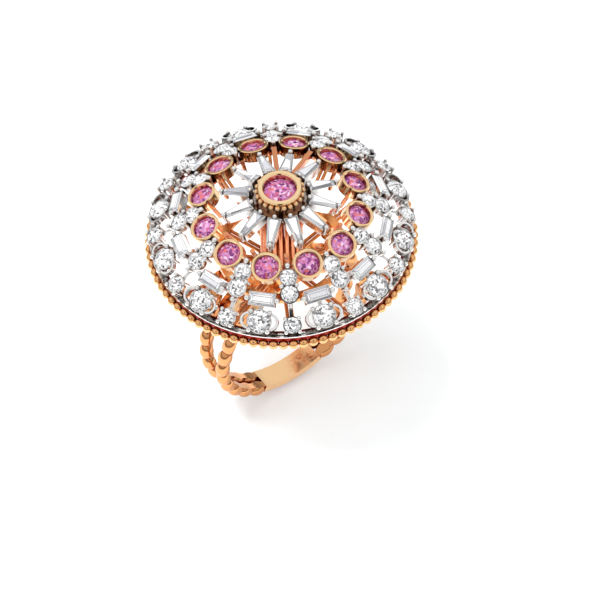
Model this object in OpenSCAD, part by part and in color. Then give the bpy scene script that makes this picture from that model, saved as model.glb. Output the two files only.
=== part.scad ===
// Cocktail ring: an open domed head of round, baguette and tapered stones on a split, beaded shank.
// Millimetres. The origin is the centre of the finger bore, the finger runs along Y,
// and +Z points up through the middle of the head.

/* [Finger bore and shank] */
// Inner diameter of the finger bore
bore_d = 18; // [17:0.25:19]
// Thickness of the strip under the beads
strip_t = 0.45; // [0.4:0.05:0.5]
// Width of that strip
strip_w = 0.8; // [0.6:0.05:0.9]
// Thickness of the plain polished part at the bottom
plain_t = 1.45; // [1.2:0.05:1.6]
// Width of the plain polished part at the bottom
plain_w = 2.6; // [2.4:0.1:3]
// Half angle of the plain part, from the lowest point
plain_half_angle = 24; // [20:1:28]
// Diameter of one shank bead
shank_bead_d = 1.66; // [1.5:0.02:1.7]
// Distance between neighbouring shank beads
shank_bead_pitch = 2.05; // [1.9:0.05:2.1]
// Distance between the two strands at the height of the bore's centre
strand_gap = 3.15; // [2.9:0.05:3.3]
// How much that distance grows for each millimetre of height
strand_spread = 0.19; // [0.15:0.01:0.2]

/* [Head] */
// Height of the head's rim above the bore's centre
rim_z = 15.14; // [14.8:0.02:15.4]
// Radius of the rim's bead row
rim_r = 14.62; // [14.5:0.02:14.8]
// Number of beads around the rim
rim_beads = 84; // [72:1:84]
// Radius of the sphere that the stones' tops lie on
dome_r = 20.5; // [19.5:0.1:22]
// Height of that sphere's top above the rim
dome_h = 8.07; // [7.6:0.01:8.4]
// How many times the pattern repeats around the head
repeats = 12; // [12:1:12]

/* [Centre stone] */
// Diameter of the centre stone
centre_d = 3.6; // [3.2:0.1:3.8]
// Outer diameter of its bezel
centre_bezel_d = 4.9; // [4.7:0.1:5.1]
// Height of the bezel's top above the rim
centre_top = 8.87; // [8.6:0.01:9.1]
// Number of beads in the collar
collar_beads = 22; // [18:1:24]

/* [Ring of coloured stones] */
// Diameter of each coloured stone
sapphire_d = 2.6; // [2.3:0.1:2.7]
// Outer diameter of its bezel
sapphire_bezel_d = 3.4; // [3.2:0.1:3.5]
// Radius of the circle that their centres lie on
sapphire_r = 8.87; // [8.7:0.01:9]

/* [Clear stones] */
// Length of a tapered stone
taper_l = 3.0; // [2.8:0.1:3.1]
// Width of a tapered stone's inner end
taper_w1 = 1.4; // [1.3:0.05:1.45]
// Width of a tapered stone's outer end
taper_w2 = 0.7; // [0.6:0.05:0.8]
// Length of a baguette
baguette_l = 2.8; // [2.6:0.1:2.9]
// Width of a baguette
baguette_w = 1.35; // [1.2:0.05:1.4]
// Diameter of the inner stone of a pair
pair_inner_d = 1.74; // [1.6:0.02:1.8]
// Diameter of the outer stone of a pair
pair_outer_d = 1.9; // [1.8:0.02:2]
// Diameter of the large round stones near the rim
large_d = 2.5; // [2.3:0.1:2.6]
// Diameter of the small round stones near the rim
small_d = 1.8; // [1.6:0.1:1.9]

/* [Hidden] */
step = 360 / repeats;
half_step = step / 2;
eps = 0.05;
bore_r = bore_d / 2;
strip_r = bore_r + strip_t;
plain_r = bore_r + plain_t;
bead_r = shank_bead_d / 2;
strand_r = plain_r - bead_r;

// The arch closes the bore under the head and starts at this height.
arch_z = 3;
arch_r = bore_r + 0.6;

// The shank's arms leave the circle here and run straight up to the head.
arm_angle = 17;
arm_top_z = rim_z - 2.2;
arm_len = (arm_top_z - strand_r * sin(arm_angle)) / cos(arm_angle);
bead_step = 2 * asin(shank_bead_pitch / (2 * strand_r));
strand_arc = arm_angle + 90 - plain_half_angle;
arc_beads = round(strand_arc / bead_step);
line_start = strand_r * ((arc_beads + 0.5) * bead_step - strand_arc) * PI / 180;
line_beads = floor((arm_len - line_start) / shank_bead_pitch);

// Radii of the rings of stones, and of the parts between the hub and the rim
taper_r = 4.95;
pair_inner_r = 9.87;
pair_outer_r = 11.43;
baguette_r = 11.95;
large_r = 13.82;
small_r = 14.1;
rim_tilt = 33;
rim_lift = 0.15;
rim_foot = -1.62;
hub_r = 2.7;
hub_top = rim_z - 3.35;
cage_r = 2.15;
cage_rods = 20;
cage_top = rim_z + 6.4;
cup_r = 3.05;
cup_h = 0.6;
rim_in = 13.6;
rim_edge = 14.6;
rim_top = 0.84;
bezel_h = 1.35;
spoke_gap = 0.52;
spoke_d = 0.42;
spoke_in = 2.3;
spoke_out = 13.8;
rib_w = 0.56;
rib_at = [30, 60];

// Prong wires and their ball ends
prong_d = 0.4;
ball_d = 0.56;

// Walls of the settings: how far they stand out round a stone, and the levels of a bar setting's
// top, ledge and foot below its stone's table
cup_lip = 0.1;
bar_lip = 0.08;
bar_top = -0.26;
bar_ledge = -0.56;
bar_foot = -1.4;
// Girdle of a round stone, as parts of its diameter below the table
girdle_top = 0.16;
girdle_foot = 0.19;

rose = [0.88, 0.62, 0.42];
rose_dark = [0.72, 0.4, 0.27];
white_metal = [0.8, 0.8, 0.82];
pink = [0.76, 0.38, 0.69];
clear = [0.93, 0.94, 0.97];

function two(i) = str(i < 10 ? "0" : "", i);
function numbered(name) = [for (i = [1:repeats]) str(name, two(i))];

// Height above the rim of the dome at radius r, and the dome's slope there
function dome_z(r) = dome_h - dome_r + sqrt(dome_r * dome_r - r * r);
function dome_tilt(r) = asin(r / dome_r);

// Distance of each strand from the ring's middle plane at height z
function strand_y(z) = (strand_gap + strand_spread * z) / 2;

// ---- Placing ----

module around(first) {
    for (i = [0:repeats - 1])
        rotate(first + i * step)
            children();
}

// Puts the children's origin on the dome at radius r, with local Z along the dome's normal
// and local X pointing down the slope.
module on_dome(r, lift = 0, tilt = undef) {
    translate([r, 0, rim_z + dome_z(r)])
        rotate([0, is_undef(tilt) ? dome_tilt(r) : tilt, 0])
            translate([0, 0, lift])
                children();
}

// ---- Stones ----

// A ring of n points of radius r at height z, turned by a part of a step.
function ring_pts(n, r, z, turn = 0) =
    [for (i = [0:n - 1]) [r * cos((i + turn) * 360 / n), r * sin((i + turn) * 360 / n), z]];

// Round brilliant cut with its table at z = 0. The points, in order, are the table's eight,
// the star points' eight, the girdle's upper and lower sixteen, the pavilion's eight and the culet.
module round_stone(d) {
    r = d / 2;
    crown = girdle_top * d;
    girdle = (girdle_foot - girdle_top) * d;
    pavilion = 0.42 * d;
    points = concat(
        ring_pts(8, 0.56 * r, 0),
        ring_pts(8, 0.79 * r, -0.55 * crown, 0.5),
        ring_pts(16, r, -crown),
        ring_pts(16, r, -crown - girdle),
        ring_pts(8, 0.42 * r, -crown - girdle - 0.6 * pavilion, 0.5),
        [[0, 0, -crown - girdle - pavilion]]
    );
    table = [for (i = [7:-1:0]) i];
    stars = [for (i = [0:7]) [i, (i + 1) % 8, 8 + i]];
    kites = [for (i = [0:7]) [i, 8 + i, 16 + 2 * i]];
    kites_b = [for (i = [0:7]) [(i + 1) % 8, 16 + (2 * i + 2) % 16, 8 + i]];
    upper_a = [for (i = [0:7]) [8 + i, 16 + 2 * i + 1, 16 + 2 * i]];
    upper_b = [for (i = [0:7]) [8 + i, 16 + (2 * i + 2) % 16, 16 + 2 * i + 1]];
    band = [for (i = [0:15]) [16 + i, 16 + (i + 1) % 16, 32 + (i + 1) % 16, 32 + i]];
    lower_a = [for (i = [0:7]) [32 + 2 * i, 32 + 2 * i + 1, 48 + i]];
    lower_b = [for (i = [0:7]) [32 + 2 * i + 1, 32 + (2 * i + 2) % 16, 48 + i]];
    mains = [for (i = [0:7]) [32 + 2 * i, 48 + i, 56]];
    mains_b = [for (i = [0:7]) [32 + (2 * i + 2) % 16, 56, 48 + i]];
    polyhedron(points, concat([table], stars, kites, kites_b, upper_a, upper_b, band,
                              lower_a, lower_b, mains, mains_b));
}

// A four-sided outline of length l along X, w1 wide at its inner end and w2 at its outer end,
// drawn in by inset on every side.
function bar_outline(l, w1, w2, inset) =
    let (x = l / 2 - inset, a = w1 / 2 - inset, b = w2 / 2 - inset)
    [[-x, -a], [x, -b], [x, b], [-x, a]];

// Step cut with its table at z = 0: each layer is an inset and a height.
module step_stone(l, w1, w2) {
    narrow = min(w1, w2);
    layers = [[0.3 * narrow, 0], [0.14 * narrow, -0.1], [0, -0.28], [0, -0.34],
              [0.2 * narrow, -0.58], [0.4 * narrow, -0.86]];
    last = len(layers) - 1;
    points = [for (k = [0:last]) for (p = bar_outline(l, w1, w2, layers[k][0])) [p[0], p[1], layers[k][1]]];
    sides = [for (k = [0:last - 1]) for (i = [0:3])
                 [4 * k + i, 4 * k + (i + 1) % 4, 4 * k + 4 + (i + 1) % 4, 4 * k + 4 + i]];
    polyhedron(points, concat([[3, 2, 1, 0]], sides, [[for (i = [0:3]) 4 * last + i]]));
}

// ---- Settings ----

// A prong: a wire that stands on the setting and ends in a ball.
module prong(x, y, top, foot, ball = ball_d) {
    translate([x, y, 0]) {
        translate([0, 0, foot])
            cylinder(h = top - foot, d = prong_d, $fn = 24);
        translate([0, 0, top])
            sphere(d = ball, $fn = 32);
    }
}

// Walled frame that carries a step-cut stone on a ledge below its girdle, with a keel that
// reaches out to the prongs at both ends.
module bar_frame(l, w1, w2) {
    ledge_w = 0.12 * min(w1, w2) + 0.04;
    translate([0, 0, bar_foot])
        linear_extrude(bar_ledge - bar_foot)
            difference() {
                polygon(bar_outline(l, w1, w2, -bar_lip));
                polygon(bar_outline(l, w1, w2, ledge_w));
            }
    translate([0, 0, bar_ledge - eps])
        linear_extrude(bar_top - bar_ledge + eps)
            difference() {
                polygon(bar_outline(l, w1, w2, -bar_lip));
                polygon(bar_outline(l, w1, w2, -0.01));
            }
    translate([-l / 2 - 0.25, -0.16, bar_foot - 0.1])
        cube([l + 0.5, 0.32, 0.35]);
}

// Open cup of height h that carries a round stone of diameter d, with a lip round its girdle.
module round_cup(d, h) {
    r = d / 2;
    edge = h + (girdle_foot - girdle_top) * d;
    translate([0, 0, -girdle_foot * d - h])
        rotate_extrude($fn = 48)
            polygon([[0.62 * r, 0], [0.86 * r, 0], [r + cup_lip, h - 0.15], [r + cup_lip, edge],
                     [r + 0.01, edge], [r + 0.01, h], [0.9 * r, h]]);
}

// The room that a round stone's girdle and crown take.
module stone_room(d) {
    translate([0, 0, -girdle_foot * d])
        cylinder(h = 1, d = d, $fn = 48);
}

// Bezel whose rim is level with z = 0: a straight tube with a ledge under the stone's girdle.
module bezel_tube(outer_d, stone_d, h, seat) {
    r = outer_d / 2;
    s = stone_d / 2 + 0.01;
    rotate_extrude($fn = 72)
        polygon([[s, -seat], [s, -0.1], [s + 0.1, 0], [r - 0.1, 0], [r, -0.1],
                 [r, -h], [s - 0.12, -h], [s - 0.12, -seat - 0.25]]);
}

// ---- Shank ----

module bore_cylinder(r) {
    rotate([90, 0, 0])
        cylinder(h = 14, r = r, center = true, $fn = 180);
}

// The plain polished stretch at the bottom: a D-shaped section turned about the finger's axis.
module shank_base() {
    bulge = 1.7;
    color(rose)
        rotate([90, 0, 0])
            rotate(-90 - plain_half_angle)
                rotate_extrude(angle = 2 * plain_half_angle, $fn = 180)
                    intersection() {
                        translate([bore_r, -plain_w / 2])
                            square([plain_t, plain_w]);
                        translate([plain_r - bulge, 0])
                            circle(r = bulge, $fn = 64);
                    }
}

// Puts the children in the plane of one strand: side is 1 for the right arm and -1 for the left,
// face is 1 for the back strand and -1 for the front one.
module in_strand_plane(side, face) {
    scale_x = side > 0 ? 0 : 1;
    mirror([scale_x, 0, 0])
        translate([0, face * strand_y(0), 0])
            rotate([-face * atan(strand_spread / 2), 0, 0])
                children();
}

// A bead that runs along local Z and narrows to a groove at both ends, where it meets the next.
module barrel_bead() {
    swell = 1.65;
    half = shank_bead_pitch / 2 + 0.08;
    rotate_extrude($fn = 48)
        intersection() {
            translate([bead_r - swell, 0])
                circle(r = swell, $fn = 96);
            translate([0, -half])
                square([bead_r + 1, 2 * half]);
        }
}

// One strand of beads on its strip: round the circle, then straight up to the head.
module bead_strand(side, face) {
    color(rose)
        difference() {
            in_strand_plane(side, face) {
                for (i = [0:arc_beads - 1])
                    rotate([0, strand_arc - arm_angle - (i + 0.5) * bead_step, 0])
                        translate([strand_r, 0, 0])
                            barrel_bead();
                rotate([0, -arm_angle, 0]) {
                    for (i = [0:line_beads - 1])
                        translate([strand_r, 0, line_start + i * shank_bead_pitch])
                            barrel_bead();
                    translate([bore_r, -strip_w / 2, -0.2])
                        cube([strip_t, strip_w, arm_len + 0.2]);
                }
                rotate([90, 0, 0])
                    rotate(arm_angle - strand_arc)
                        rotate_extrude(angle = strand_arc, $fn = 180)
                            translate([bore_r - 0.1, -strip_w / 2])
                                square([strip_t + 0.1, strip_w]);
            }
            bore_cylinder(bore_r);
            arch_zone();
            shank_base();
        }
}

module bead_strand_front_left() { bead_strand(-1, -1); }
module bead_strand_back_left() { bead_strand(-1, 1); }
module bead_strand_front_right() { bead_strand(1, -1); }
module bead_strand_back_right() { bead_strand(1, 1); }

// The space that the arch and the bore under it take up.
module arch_zone() {
    intersection() {
        bore_cylinder(arch_r);
        translate([-arch_r - 1, -7, arch_z])
            cube([2 * arch_r + 2, 14, arch_r]);
    }
}

// Arch over the finger. It carries on the strips' line and closes above the opening between them.
module shank_arch() {
    edge = strand_y(arch_z) + strip_w / 2;
    high = 6.4;
    color(rose)
        difference() {
            intersection() {
                arch_zone();
                translate([-arch_r - 1, -edge, 0])
                    cube([2 * arch_r + 2, 2 * edge, arch_r + 1]);
            }
            bore_cylinder(bore_r);
            translate([-arch_r - 1, strip_w - edge, 0])
                cube([2 * arch_r + 2, 2 * edge - 2 * strip_w, high]);
        }
}

// ---- Under the head ----

// The boss between the band and the basket.
module hub() {
    color(rose)
        difference() {
            translate([0, 0, bore_r])
                cylinder(h = hub_top - bore_r, r = hub_r, $fn = 72);
            bore_cylinder(arch_r);
        }
}

module centre_cage() {
    color(rose_dark)
        for (i = [0:cage_rods - 1])
            rotate(i * 360 / cage_rods)
                translate([cage_r, 0, hub_top])
                    cylinder(h = cage_top - hub_top, d = 0.46, $fn = 24);
}

// A straight wire between two points of the XZ plane, moved sideways by y.
module wire(x1, z1, x2, z2, d, y = 0) {
    length = norm([x2 - x1, z2 - z1]);
    translate([x1, y, z1])
        rotate([0, atan2(x2 - x1, z2 - z1), 0])
            cylinder(h = length, d = d, $fn = 24);
}

// Pairs of wires from the hub out to the rim.
module spokes() {
    color(rose)
        difference() {
            around(0)
                for (y = [-spoke_gap / 2, spoke_gap / 2])
                    wire(spoke_in, hub_top - 0.3, spoke_out, rim_z - 0.1, spoke_d, y);
            translate([0, 0, bore_r])
                cylinder(h = hub_top - bore_r, r = hub_r, $fn = 72);
            base_rim();
            basket_ring();
        }
}

// Flat ring that ties the spokes together halfway out and takes the tops of the shank's arms
module basket_ring() {
    color(rose)
        translate([0, 0, arm_top_z - 0.25])
            rotate_extrude($fn = 144)
                translate([6.3, 0])
                    square([1.0, 0.5]);
}

// Rim that overhangs the row of beads below it
module base_rim() {
    under = 0.31;
    color(rose_dark)
        translate([0, 0, rim_z])
            rotate_extrude($fn = 180)
                polygon([[rim_in, -0.45], [14.2, -0.45], [14.2, under], [rim_edge, under],
                         [rim_edge, rim_top], [rim_in, rim_top]]);
}

module rim_bead_row() {
    color(rose)
        difference() {
            for (i = [0:rim_beads - 1])
                rotate(i * 360 / rim_beads)
                    translate([rim_r, 0, rim_z - 0.2])
                        sphere(r = 0.55, $fn = 32);
            base_rim();
        }
}

// Ring that joins the coloured stones' bezels at their feet.
module bezel_link_ring() {
    color(rose_dark)
        translate([0, 0, rim_z + dome_z(sapphire_r) - bezel_h - 0.3])
            rotate_extrude($fn = 144)
                translate([sapphire_r - 0.45, -0.25])
                    square([0.7, 0.5]);
}

// Ribs from the ring of bezels in to the centre cup.
module canopy_ribs() {
    color(rose_dark)
        for (a = rib_at)
            rotate(a)
                difference() {
                    on_dome(5.9, -0.75)
                        translate([-3.2, -rib_w / 2, -0.4])
                            cube([5.6, rib_w, 0.7]);
                    cylinder(h = rim_z + 20, r = cup_r + 0.05, $fn = 72);
                }
}

// Short legs that hang from the ring of bezels where there's no rib.
module canopy_legs() {
    color(rose_dark)
        for (i = [0:repeats - 1])
            if (len(search(i * step, rib_at)) == 0)
                rotate(i * step)
                    wire(7.3, rim_z + 6.1, 6.6, rim_z + 4.6, 0.5);
}

// ---- White metal lattice ----

// Thin rim plate with two polished lines and a groove between them
module white_rim_ring() {
    line = 0.12;
    color(white_metal)
        translate([0, 0, rim_z + rim_top])
            difference() {
                rotate_extrude($fn = 180)
                    translate([rim_in + 0.3, 0])
                        square([rim_edge - rim_in - 0.3, line]);
                for (r = [[14.2, rim_edge - 0.18], [rim_in, 14.08]])
                    translate([0, 0, 0.03])
                        rotate_extrude($fn = 180)
                            translate([r[0], 0])
                                square([r[1] - r[0], line]);
            }
}

// Struts under the stones: from each pair out to the small stone beyond it, and from each
// baguette out to the large one.
module lattice_wires() {
    color(white_metal) {
        around(0)
            translate([11.95, -0.2, rim_z + 2.85])
                rotate([0, 31, 0])
                    cube([1.6, 0.4, 0.3]);
        around(half_step)
            translate([12.0, -0.2, rim_z + 3.2])
                rotate([0, 45, 0])
                    cube([1.3, 0.4, 0.3]);
    }
}

// ---- Centre ----

module centre_cup() {
    color(white_metal)
        translate([0, 0, cage_top])
            difference() {
                cylinder(h = cup_h, r = cup_r, $fn = 96);
                translate([0, 0, -eps])
                    cylinder(h = cup_h + 2 * eps, r = 1.2, $fn = 72);
            }
}

module centre_bezel() {
    top = rim_z + centre_top;
    color(rose)
        translate([0, 0, top])
            bezel_tube(centre_bezel_d, centre_d, top - cage_top - cup_h, 0.95);
}

module centre_bead_collar() {
    bezel_r = centre_bezel_d / 2;
    color(rose)
        difference() {
            for (i = [0:collar_beads - 1])
                rotate(i * 360 / collar_beads)
                    translate([bezel_r + 0.06, 0, rim_z + centre_top - 0.62])
                        sphere(d = 0.62, $fn = 32);
            cylinder(h = rim_z + 20, r = bezel_r, $fn = 72);
        }
}

module centre_sapphire() {
    color(pink)
        translate([0, 0, rim_z + centre_top - 0.2])
            round_stone(centre_d);
}

// ---- Stones and settings round the dome ----

module tapered_settings() {
    color(white_metal)
        around(half_step) {
            on_dome(taper_r) {
                bar_frame(taper_l, taper_w1, taper_w2);
                for (x = [-1, 1])
                    prong(x * (taper_l / 2 + 0.2), 0, -0.05, bar_foot);
            }
            difference() {
                on_dome(taper_r)
                    translate([-taper_l / 2 - 0.9, -0.3, -1.25])
                        cube([0.9, 0.6, 0.35]);
                cylinder(h = rim_z + 20, r = cup_r, $fn = 96);
            }
        }
}

module tapered_diamonds() {
    color(clear)
        around(half_step)
            on_dome(taper_r)
                step_stone(taper_l, taper_w1, taper_w2);
}

// Two cups and their four prongs, standing on a small cross
module pair_settings() {
    waist = 0.84;
    foot = -1.4;
    depth = 0.95;
    color(white_metal)
        around(0) {
            difference() {
                union() {
                    on_dome(pair_inner_r, 0.1)
                        round_cup(pair_inner_d, depth);
                    on_dome(pair_outer_r)
                        round_cup(pair_outer_d, depth);
                }
                on_dome(pair_inner_r, 0.1)
                    stone_room(pair_inner_d);
                on_dome(pair_outer_r)
                    stone_room(pair_outer_d);
            }
            on_dome(8.72)
                prong(0, 0, -0.05, foot, 0.66);
            on_dome(10.65) {
                for (y = [-waist, waist])
                    prong(0, y, -0.1, foot, 0.5);
                translate([-2.2, -0.16, foot])
                    cube([4.5, 0.32, 0.35]);
                translate([-0.16, -waist, foot])
                    cube([0.32, 2 * waist, 0.35]);
            }
            on_dome(12.5)
                prong(0, 0, -0.12, foot, 0.54);
        }
}

module pair_inner_diamonds() {
    color(clear)
        around(0)
            on_dome(pair_inner_r, 0.1)
                round_stone(pair_inner_d);
}

module pair_outer_diamonds() {
    color(clear)
        around(0)
            on_dome(pair_outer_r)
                round_stone(pair_outer_d);
}

module baguette_settings() {
    color(white_metal)
        around(half_step)
            on_dome(baguette_r)
                rotate(90) {
                    bar_frame(baguette_l, baguette_w, baguette_w);
                    for (x = [-1, 1])
                        prong(x * (baguette_l / 2 + 0.25), 0, -0.1, bar_foot, 0.6);
                }
}

module baguette_diamonds() {
    color(clear)
        around(half_step)
            on_dome(baguette_r)
                rotate(90)
                    step_stone(baguette_l, baguette_w, baguette_w);
}

// Cup and four prongs for a round stone near the rim. The outer two prongs stand on the rim.
module four_prong_setting(d, ball) {
    reach = d / 2 * 0.82;
    depth = 0.9;
    floor_z = -girdle_foot * d - depth;
    round_cup(d, depth);
    for (a = [45:90:315])
        rotate(a)
            translate([0.43 * d, -0.13, floor_z + 0.1])
                cube([reach * sqrt(2) - 0.43 * d, 0.26, 0.28]);
    for (x = [-1, 1])
        for (y = [-1, 1])
            prong(x * reach, y * reach, 0.16 - girdle_top * d, x > 0 ? rim_foot : floor_z, ball);
}

module large_settings() {
    color(white_metal)
        around(half_step)
            on_dome(large_r, rim_lift, rim_tilt)
                four_prong_setting(large_d, 0.56);
}

module large_diamonds() {
    color(clear)
        around(half_step)
            on_dome(large_r, rim_lift, rim_tilt)
                round_stone(large_d);
}

// Open loops on both sides of each large stone
module halo_arcs() {
    color(white_metal)
        around(half_step)
            on_dome(large_r, rim_lift, rim_tilt)
                for (a = [0, 180])
                    rotate(a)
                        translate([0, large_d / 2 - 0.1, -0.75])
                            rotate_extrude(angle = 180, $fn = 72)
                                translate([0.7, 0])
                                    square([0.28, 0.55]);
}

module small_settings() {
    color(white_metal)
        around(0)
            on_dome(small_r, rim_lift, rim_tilt)
                four_prong_setting(small_d, 0.46);
}

module small_diamonds() {
    color(clear)
        around(0)
            on_dome(small_r, rim_lift, rim_tilt)
                round_stone(small_d);
}

// ---- Coloured stones, one node each ----

module sapphire_bezel() {
    color(rose)
        on_dome(sapphire_r)
            bezel_tube(sapphire_bezel_d, sapphire_d, bezel_h, 0.64);
}

module pink_sapphire() {
    color(pink)
        on_dome(sapphire_r, -0.14)
            round_stone(sapphire_d);
}

shank_base();
bead_strand_front_left();
bead_strand_back_left();
bead_strand_front_right();
bead_strand_back_right();
shank_arch();
hub();
centre_cage();
spokes();
basket_ring();
base_rim();
rim_bead_row();
bezel_link_ring();
canopy_ribs();
canopy_legs();
white_rim_ring();
lattice_wires();
centre_cup();
centre_bezel();
centre_bead_collar();
centre_sapphire();
tapered_settings();
tapered_diamonds();
pair_settings();
pair_inner_diamonds();
pair_outer_diamonds();
baguette_settings();
baguette_diamonds();
large_settings();
large_diamonds();
halo_arcs();
small_settings();
small_diamonds();
for (i = [1:repeats]) {
    rotate((i - 0.5) * step)
            sapphire_bezel();
    rotate((i - 0.5) * step)
            pink_sapphire();
}
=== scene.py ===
"""Cocktail ring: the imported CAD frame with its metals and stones, studio light and camera."""

import math

import bpy
from mathutils import Matrix, Vector


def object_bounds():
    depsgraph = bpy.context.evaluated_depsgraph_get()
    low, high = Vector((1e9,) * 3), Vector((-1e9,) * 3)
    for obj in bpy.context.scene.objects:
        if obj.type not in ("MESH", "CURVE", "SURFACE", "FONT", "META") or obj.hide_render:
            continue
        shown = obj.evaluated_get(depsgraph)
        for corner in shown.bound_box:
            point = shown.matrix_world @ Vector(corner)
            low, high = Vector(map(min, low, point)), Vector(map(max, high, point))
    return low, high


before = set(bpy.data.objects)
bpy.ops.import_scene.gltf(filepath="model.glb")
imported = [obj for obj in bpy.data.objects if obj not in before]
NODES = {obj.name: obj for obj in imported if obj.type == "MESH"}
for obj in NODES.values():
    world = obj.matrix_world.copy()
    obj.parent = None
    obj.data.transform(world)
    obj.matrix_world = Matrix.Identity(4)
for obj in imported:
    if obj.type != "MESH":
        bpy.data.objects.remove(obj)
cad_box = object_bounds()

MM = 0.001
UP = Vector((0, 0, 1))

# The point on the head's axis that the view and the softbox are set out from
HEAD_POINT = Vector((0, 0, 16.09 * MM))


def direction(azimuth, elevation):
    """Unit vector at these angles in degrees. Azimuth 0 is at -Y and 90 at +X."""
    turn = math.radians(azimuth)
    rise = math.radians(elevation)
    return Vector((math.sin(turn) * math.cos(rise), -math.cos(turn) * math.cos(rise), math.sin(rise)))


# ---- Camera: where the ring is seen from ----

TO_CAMERA = direction(-33.34, 51.73)
LEVEL_RIGHT = UP.cross(TO_CAMERA).normalized()
VIEW_ROLL = math.radians(2.2)
VIEW_DISTANCE = 518 * MM
LENS = 281.6
SENSOR_WIDTH = 36
# How far the aim lies from the head point, across the picture
AIM_RIGHT = 2.06 * MM
AIM_DOWN = 7.48 * MM


def add_camera():
    """A long lens from far off, rolled a little, with the ring's head above the middle."""
    rise = TO_CAMERA.cross(LEVEL_RIGHT)
    right = LEVEL_RIGHT * math.cos(VIEW_ROLL) - rise * math.sin(VIEW_ROLL)
    up = LEVEL_RIGHT * math.sin(VIEW_ROLL) + rise * math.cos(VIEW_ROLL)
    place = HEAD_POINT + TO_CAMERA * VIEW_DISTANCE
    target = HEAD_POINT + right * AIM_RIGHT - up * AIM_DOWN
    z_axis = (place - target).normalized()
    x_axis = (right - z_axis * right.dot(z_axis)).normalized()
    y_axis = z_axis.cross(x_axis)
    data = bpy.data.cameras.new("camera")
    data.lens = LENS
    data.sensor_width = SENSOR_WIDTH
    data.clip_start = 0.01
    data.clip_end = 10
    camera = bpy.data.objects.new("camera", data)
    turn = Matrix((x_axis, y_axis, z_axis)).transposed().to_4x4()
    camera.matrix_world = Matrix.Translation(place) @ turn
    bpy.context.scene.collection.objects.link(camera)
    bpy.context.scene.camera = camera


# ---- Node helpers ----


class Graph:
    """The node tree of a material or world, with short ways to add and join nodes."""

    def __init__(self, owner):
        self.owner = owner
        owner.use_nodes = True
        self.tree = owner.node_tree
        self.tree.nodes.clear()

    def node(self, kind, **values):
        """Adds a node and sets its own properties."""
        made = self.tree.nodes.new(kind)
        for key, value in values.items():
            setattr(made, key, value)
        return made

    def join(self, source, target):
        self.tree.links.new(source, target)

    def feed(self, values, sockets):
        """Joins each value that is another node's output, and sets each plain one."""
        for value, socket in zip(values, sockets):
            if isinstance(value, bpy.types.NodeSocket):
                self.join(value, socket)
            else:
                socket.default_value = value

    def shader(self, **sockets):
        """A Principled shader on the output, with the given plain socket values."""
        made = self.node("ShaderNodeBsdfPrincipled")
        for key, value in sockets.items():
            made.inputs[key.replace("_", " ")].default_value = value
        output = self.node("ShaderNodeOutputMaterial")
        self.join(made.outputs[0], output.inputs["Surface"])
        return made

    def place(self):
        """Where a point lies in its object's own frame."""
        return self.node("ShaderNodeTexCoord").outputs["Object"]

    def maths(self, operation, *values, use_clamp=False):
        made = self.node("ShaderNodeMath", operation=operation, use_clamp=use_clamp)
        self.feed(values, made.inputs)
        return made.outputs[0]

    def vector_maths(self, operation, *values):
        """The result is a number for a dot product or a length, and a vector for the rest."""
        made = self.node("ShaderNodeVectorMath", operation=operation)
        self.feed(values, made.inputs)
        return made.outputs["Value" if operation in ("DOT_PRODUCT", "LENGTH") else "Vector"]

    def noise(self, size, detail=3.0):
        """Noise with features of about size metres."""
        made = self.node("ShaderNodeTexNoise")
        made.inputs["Scale"].default_value = 1 / size
        made.inputs["Detail"].default_value = detail
        self.join(self.place(), made.inputs["Vector"])
        return made.outputs["Fac"]

    def spread(self, value, low, high, start=0.3, end=0.7):
        """Maps value from start..end to low..high."""
        made = self.node("ShaderNodeMapRange")
        made.inputs["From Min"].default_value = start
        made.inputs["From Max"].default_value = end
        made.inputs["To Min"].default_value = low
        made.inputs["To Max"].default_value = high
        self.join(value, made.inputs["Value"])
        return made.outputs[0]

    def mix(self, amount, first, second):
        """The first colour where amount is 0 and the second where it is 1."""
        made = self.node("ShaderNodeMix", data_type="RGBA")
        self.join(amount, made.inputs["Factor"])
        colours = [(*colour, 1) if isinstance(colour, tuple) else colour for colour in (first, second)]
        self.feed(colours, (made.inputs[6], made.inputs[7]))
        return made.outputs[2]


def bumped(graph, shader, height, depth):
    """Adds height, a value from 0 to 1, to the shader as a bump of that depth in metres."""
    bump = graph.node("ShaderNodeBump")
    bump.inputs["Strength"].default_value = 1
    bump.inputs["Distance"].default_value = depth
    graph.join(height, bump.inputs["Height"])
    graph.join(bump.outputs[0], shader.inputs["Normal"])


# ---- Metal ----

# Cosine of the angle between a face and its rounded edge: on the edge's line, and off it
ON_EDGE = 0.99
OFF_EDGE = 0.9998
METAL_EDGE_WIDTH = 0.08 * MM

# How far off another surface still counts as closing a recess in, for the painted shade in hollows
HOLLOW_DISTANCE = 1.2 * MM

# Patches of slightly darker metal: their size, their strength and their darkness
TONE_SIZE = 2.5 * MM
TONE_STRENGTH = 0.25
TONE_DARKNESS = 0.86

# Patches of rougher polish, and the fine unevenness of the surface
POLISH_SIZE = 0.35 * MM
UNEVEN_SIZE = 0.12 * MM
UNEVEN_DEPTH = 0.0015 * MM
FINE_DETAIL = 4


def edge_lines(graph, width):
    """1 within about width metres of an edge between two faces, falling to 0 inside them."""
    rounded = graph.node("ShaderNodeBevel", samples=4)
    rounded.inputs["Radius"].default_value = width
    face = graph.node("ShaderNodeNewGeometry")
    same = graph.vector_maths("DOT_PRODUCT", rounded.outputs[0], face.outputs["True Normal"])
    return graph.spread(same, 1, 0, ON_EDGE, OFF_EDGE)


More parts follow.
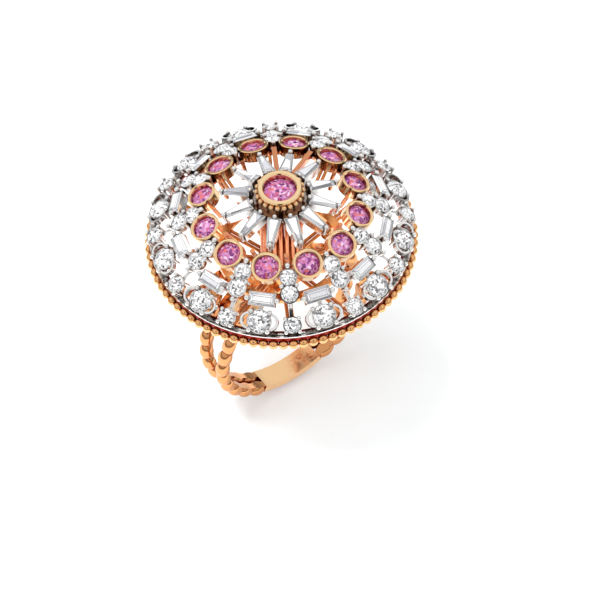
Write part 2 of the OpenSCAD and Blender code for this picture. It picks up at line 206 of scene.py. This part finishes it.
def polished_gold(name, colour, hollow_shade, roughness=(0.08, 0.2), reach=(0.2, 0.85), edge_shade=None):
    """Polished gold alloy: its colour deepens in hollows as painted shade, and its polish varies a
    little.

    reach is how open the metal has to be for the colour to start and to be full, and the edge
    colour is painted shade along its edges, where they have one.
    """
    graph = Graph(bpy.data.materials.new(name))
    shader = graph.shader(Metallic=1.0)
    # Painted shade: the hollow colour where other surfaces close the metal in
    shade = graph.node("ShaderNodeAmbientOcclusion", samples=8)
    shade.inputs["Distance"].default_value = HOLLOW_DISTANCE
    open_part = graph.spread(shade.outputs["AO"], 0, 1, *reach)
    tone = graph.spread(graph.noise(TONE_SIZE), 0, TONE_STRENGTH)
    toned = graph.mix(tone, colour, tuple(channel * TONE_DARKNESS for channel in colour))
    shaded = graph.mix(open_part, hollow_shade, toned)
    # Painted shade along the edges
    if edge_shade:
        shaded = graph.mix(edge_lines(graph, METAL_EDGE_WIDTH), shaded, edge_shade)
    graph.join(shaded, shader.inputs["Base Color"])
    polish = graph.noise(POLISH_SIZE, FINE_DETAIL)
    graph.join(graph.spread(polish, *roughness), shader.inputs["Roughness"])
    bumped(graph, shader, graph.noise(UNEVEN_SIZE, FINE_DETAIL), UNEVEN_DEPTH)
    return graph.owner


# ---- Stone ----

# Faces whose normals differ by less than about this step share one value
NORMAL_STEP = 0.08

# Patches of slightly duller polish: their size and their greatest roughness
DULL_SIZE = 1.5 * MM
DULL_ROUGHNESS = 0.03


def facet_value(graph):
    """A value from 0 to 1 that is the same all over one facet and differs from facet to facet."""
    face = graph.node("ShaderNodeNewGeometry")
    snapped = graph.vector_maths("SNAP", face.outputs["True Normal"], (NORMAL_STEP,) * 3)
    random = graph.node("ShaderNodeTexWhiteNoise", noise_dimensions="3D")
    graph.join(snapped, random.inputs["Vector"])
    return random.outputs["Value"]


def sparkle(graph, size):
    """A random value from 0 to 1 for every patch of about size metres on every facet."""
    cells = graph.node("ShaderNodeTexVoronoi")
    cells.inputs["Scale"].default_value = 1 / size
    graph.join(graph.place(), cells.inputs["Vector"])
    split = graph.node("ShaderNodeSeparateColor")
    graph.join(cells.outputs["Color"], split.inputs[0])
    return graph.maths("FRACT", graph.maths("ADD", split.outputs[0], facet_value(graph)))


def ramp(graph, value, stops):
    """Colours along value: each stop is a place from 0 to 1 and a colour. The first is at 0."""
    made = graph.node("ShaderNodeValToRGB")
    band = made.color_ramp
    band.elements.remove(band.elements[1])
    band.elements[0].color = (*stops[0][1], 1)
    for place, colour in stops[1:]:
        band.elements.new(place).color = (*colour, 1)
    graph.join(value, made.inputs["Fac"])
    return made.outputs["Color"]


def stone(name, shades, line, width, grain, ior, clear, glow):
    """Cut stone with painted sparkle: every small patch takes one of the shades, painted as light thrown
    back by the facets, and glows in it as painted light.

    line and width are the colour and width of painted dark lines along the facets' edges, grain is
    the patches' size, glow is the strength of the painted glow, and clear is how much light passes
    through.
    """
    graph = Graph(bpy.data.materials.new(name))
    shader = graph.shader(IOR=ior, Transmission_Weight=clear, Emission_Strength=glow)
    # Painted sparkle: light and dark patches, with painted dark lines along the facets' edges
    patches = ramp(graph, sparkle(graph, grain), shades)
    colour = graph.mix(edge_lines(graph, width), patches, line)
    graph.join(colour, shader.inputs["Base Color"])
    # Painted light: the stone glows in the colours of its painted sparkle
    graph.join(colour, shader.inputs["Emission Color"])
    dull = graph.spread(graph.noise(DULL_SIZE), 0, DULL_ROUGHNESS)
    graph.join(dull, shader.inputs["Roughness"])
    return graph.owner


# ---- Floor ----

FLOOR_HALF = 0.6
FLOOR_GLOW = 0.335
FLOOR_TONES = ((0.70, 0.74, 0.76), (0.71, 0.75, 0.77))
FLOOR_TONE_SIZE = 80 * MM

# Between these distances from the middle, the floor's colour and glow fall to the far ones
FLOOR_FADE = (60 * MM, 220 * MM)
FLOOR_FAR_COLOUR = (0.32, 0.33, 0.34)
FLOOR_FAR_GLOW = (0.3, 0.3, 0.3)


def floor_material():
    """White sweep that glows a little, so that only the contact shadow is darker than white.

    Far from the ring it lights the metal less than it shows, as a floor cut short would.
    """
    graph = Graph(bpy.data.materials.new("floor_white"))
    shader = graph.shader(Roughness=0.9, Specular_IOR_Level=0.1, Emission_Strength=FLOOR_GLOW)
    path = graph.node("ShaderNodeLightPath")
    distance = graph.spread(graph.vector_maths("LENGTH", graph.place()), 0, 1, *FLOOR_FADE)
    far = graph.maths("SUBTRACT", distance, path.outputs["Is Camera Ray"], use_clamp=True)
    near_colour = graph.mix(graph.spread(graph.noise(FLOOR_TONE_SIZE), 0, 1), *FLOOR_TONES)
    colour = graph.mix(far, near_colour, FLOOR_FAR_COLOUR)
    glow = graph.mix(far, (1.0, 1.0, 1.0), FLOOR_FAR_GLOW)
    graph.join(colour, shader.inputs["Base Color"])
    graph.join(glow, shader.inputs["Emission Color"])
    return graph.owner


def add_floor():
    """Wide pale floor under the lowest point of the shank."""
    low = cad_box[0][2]
    sides = ((-1, -1), (1, -1), (1, 1), (-1, 1))
    corners = [(x * FLOOR_HALF, y * FLOOR_HALF, low) for x, y in sides]
    mesh = bpy.data.meshes.new("floor")
    mesh.from_pydata(corners, [], [(0, 1, 2, 3)])
    mesh.materials.append(floor_material())
    floor = bpy.data.objects.new("floor", mesh)
    bpy.context.scene.collection.objects.link(floor)


# ---- Light ----

WORLD_STRENGTH = 0.9
BACKDROP_LIGHT = 1.2

# The sky's light at the horizon, and the height of the direction where it reaches 1
HORIZON_LIGHT = 0.22
FULL_SKY_HEIGHT = 0.4

# The dark gap: how far it fades out sideways, how it fades in towards the camera, and its light
GAP_SIDEWAYS = (0.14, 0.2)
GAP_TOWARDS_CAMERA = (0.93, 0.97)
GAP_LIGHT = 0.03


def add_world():
    """White studio with a dim horizon and a dark gap round the camera, before a white backdrop."""
    world = bpy.data.worlds.new("studio")
    bpy.context.scene.world = world
    graph = Graph(world)
    ray = graph.node("ShaderNodeTexCoord").outputs["Generated"]
    path = graph.node("ShaderNodeLightPath")

    def facing(way, low, high, start, end):
        """How far a ray points along way, mapped from start..end to low..high."""
        return graph.spread(graph.vector_maths("DOT_PRODUCT", ray, way), low, high, start, end)

    sky = facing(UP, HORIZON_LIGHT, 1, 0, FULL_SKY_HEIGHT)
    from_right = facing(LEVEL_RIGHT, 0, 1, *GAP_SIDEWAYS)
    from_left = facing(-LEVEL_RIGHT, 0, 1, *GAP_SIDEWAYS)
    beyond = facing(TO_CAMERA, 1, 0, *GAP_TOWARDS_CAMERA)
    outside_gap = graph.maths("MAXIMUM", graph.maths("MAXIMUM", from_right, from_left), beyond)
    studio = graph.maths("MULTIPLY", sky, graph.maths("MAXIMUM", outside_gap, GAP_LIGHT))
    backdrop = graph.maths("MULTIPLY", path.outputs["Is Camera Ray"], BACKDROP_LIGHT)
    bright = graph.maths("MAXIMUM", backdrop, studio)
    grey = graph.node("ShaderNodeCombineColor")
    for channel in grey.inputs:
        graph.join(bright, channel)
    light = graph.node("ShaderNodeBackground")
    light.inputs["Strength"].default_value = WORLD_STRENGTH
    graph.join(grey.outputs[0], light.inputs["Color"])
    output = graph.node("ShaderNodeOutputWorld")
    graph.join(light.outputs[0], output.inputs["Surface"])


def add_softbox(name, azimuth, elevation, distance, size, power):
    """A square softbox that faces the head point, and that the metal doesn't mirror."""
    data = bpy.data.lights.new(name, "AREA")
    data.shape = "SQUARE"
    data.size = size
    data.energy = power
    lamp = bpy.data.objects.new(name, data)
    lamp.visible_glossy = False
    away = direction(azimuth, elevation)
    lamp.location = HEAD_POINT + away * distance
    lamp.rotation_euler = away.to_track_quat("Z", "Y").to_euler()
    bpy.context.scene.collection.objects.link(lamp)


# ---- Dress the CAD nodes ----

# Painted shade: the colours rose gold turns in its hollows, and how open white gold's walls must be to
# lose theirs
ROSE_HOLLOW_SHADE = (0.42, 0.06, 0.012)
BEAD_HOLLOW_SHADE = (0.30, 0.03, 0.005)
FINE_POLISH = (0.04, 0.12)
WALL_REACH = (0.3, 0.95)

# Painted sparkle: the light and dark patches of each kind of stone. The pinks and purples are the
# sapphire's own colour painted lighter and darker, and the orange-red stop is a painted reflection of
# the gold.
PINK_SPARKLE_SHADES = [
    (0.0, (0.10, 0.012, 0.10)),
    (0.22, (0.26, 0.045, 0.24)),
    (0.3, (0.72, 0.16, 0.11)),
    (0.38, (0.52, 0.11, 0.24)),
    (0.6, (0.46, 0.16, 0.42)),
    (0.85, (0.66, 0.36, 0.58)),
    (1.0, (0.90, 0.72, 0.84)),
]
ROUND_CUT_SPARKLE_SHADES = [
    (0.0, (0.02, 0.02, 0.02)),
    (0.2, (0.20, 0.20, 0.21)),
    (0.45, (0.62, 0.62, 0.63)),
    (0.7, (0.95, 0.95, 0.96)),
    (1.0, (1.0, 1.0, 1.0)),
]
STEP_CUT_SPARKLE_SHADES = [
    (0.0, (0.30, 0.30, 0.32)),
    (0.35, (0.60, 0.60, 0.63)),
    (0.55, (0.82, 0.82, 0.83)),
    (1.0, (0.92, 0.92, 0.92)),
]


def dress(material, *prefixes):
    """Puts the material on every node whose name starts with one of the prefixes."""
    for name, node in NODES.items():
        if name.startswith(prefixes):
            for slot in node.material_slots:
                slot.material = material


def dress_rose_gold():
    """Rose gold: the bezels a lighter copy as painted light, and the pieces that sit low or deep and
    mirror their neighbours redder, darker copies as painted shade.
    """
    shank = polished_gold("rose_gold", (0.97, 0.63, 0.34), ROSE_HOLLOW_SHADE)
    # Painted light: the bezels are a lighter copy of the rose gold, with painted shade along their edges
    bezel = polished_gold("rose_gold_bezel_painted_light", (1.0, 0.74, 0.43), ROSE_HOLLOW_SHADE, roughness=(0.06, 0.16),
                          reach=(0.1, 0.8), edge_shade=(0.72, 0.28, 0.09))
    # Painted shade: the beads, the inner and deep pieces and the base rim are redder, darker copies of
    # the rose gold
    beads = polished_gold("rose_gold_beads_painted_shade", (0.72, 0.33, 0.135), BEAD_HOLLOW_SHADE)
    rim_beads = polished_gold("rose_gold_rim_beads_painted_shade", (0.90, 0.47, 0.20), BEAD_HOLLOW_SHADE, reach=(0.15, 0.75))
    inner = polished_gold("rose_gold_inner_painted_shade", (0.88, 0.38, 0.14), (0.38, 0.03, 0.005))
    deep = polished_gold("rose_gold_deep_painted_shade", (0.85, 0.35, 0.17), (0.35, 0.02, 0.005))
    rim = polished_gold("rose_gold_rim_painted_shade", (0.25, 0.02, 0.01), (0.12, 0.005, 0.003))
    dress(shank, "shank", "centre_bead_collar")
    dress(bezel, "centre_bezel", "sapphire_bezel")
    dress(beads, "bead_strand")
    dress(rim_beads, "rim_bead_row")
    dress(inner, "hub", "spokes", "basket_ring")
    dress(deep, "centre_cage", "bezel_link_ring", "canopy")
    dress(rim, "base_rim")


def dress_white_gold():
    """White gold with painted shade: dark in the hollows of the settings and on the edges of the loops.
    """
    # Painted shade in the hollows of every white gold piece, and black painted shade along the loops'
    # edges
    settings = polished_gold("white_gold", (0.96, 0.94, 0.92), (0.15, 0.11, 0.09),
                             roughness=FINE_POLISH, reach=WALL_REACH)
    loops = polished_gold("white_gold_loop", (0.93, 0.92, 0.91), (0.12, 0.10, 0.09),
                          roughness=FINE_POLISH, reach=WALL_REACH, edge_shade=(0.10, 0.09, 0.08))
    rim = polished_gold("white_gold_rim", (0.92, 0.91, 0.90), (0.40, 0.37, 0.34), roughness=FINE_POLISH)
    dress(settings, "lattice_wires", "centre_cup", "tapered_settings", "pair_settings",
          "baguette_settings", "large_settings", "small_settings")
    dress(loops, "halo_arcs")
    dress(rim, "white_rim_ring")


def dress_stones():
    """Pink sapphires, round-cut diamonds, and step-cut ones in broad calm patches, all with painted
    sparkle, painted dark facet edges and a painted glow.
    """
    pink = stone("pink_sapphire", PINK_SPARKLE_SHADES, line=(0.16, 0.02, 0.12), width=0.05 * MM,
                 grain=0.35 * MM, ior=1.6, clear=0.4, glow=0.1)
    round_cut = stone("diamond", ROUND_CUT_SPARKLE_SHADES, line=(0.28, 0.28, 0.29), width=0.05 * MM,
                      grain=0.22 * MM, ior=1.7, clear=0.4, glow=0.12)
    step_cut = stone("diamond_step", STEP_CUT_SPARKLE_SHADES, line=(0.02, 0.02, 0.02), width=0.12 * MM,
                     grain=3.0 * MM, ior=1.5, clear=0.35, glow=0.05)
    dress(pink, "pink_sapphire", "centre_sapphire")
    dress(round_cut, "pair_inner", "pair_outer", "large_diamonds", "small_diamonds")
    dress(step_cut, "baguette_diamonds", "tapered_diamonds")


dress_rose_gold()
dress_white_gold()
dress_stones()
add_floor()
add_world()
add_softbox("key", azimuth=-124, elevation=73, distance=0.5, size=0.2, power=3.2)
add_camera()
bpy.context.scene.view_settings.view_transform = "Standard"
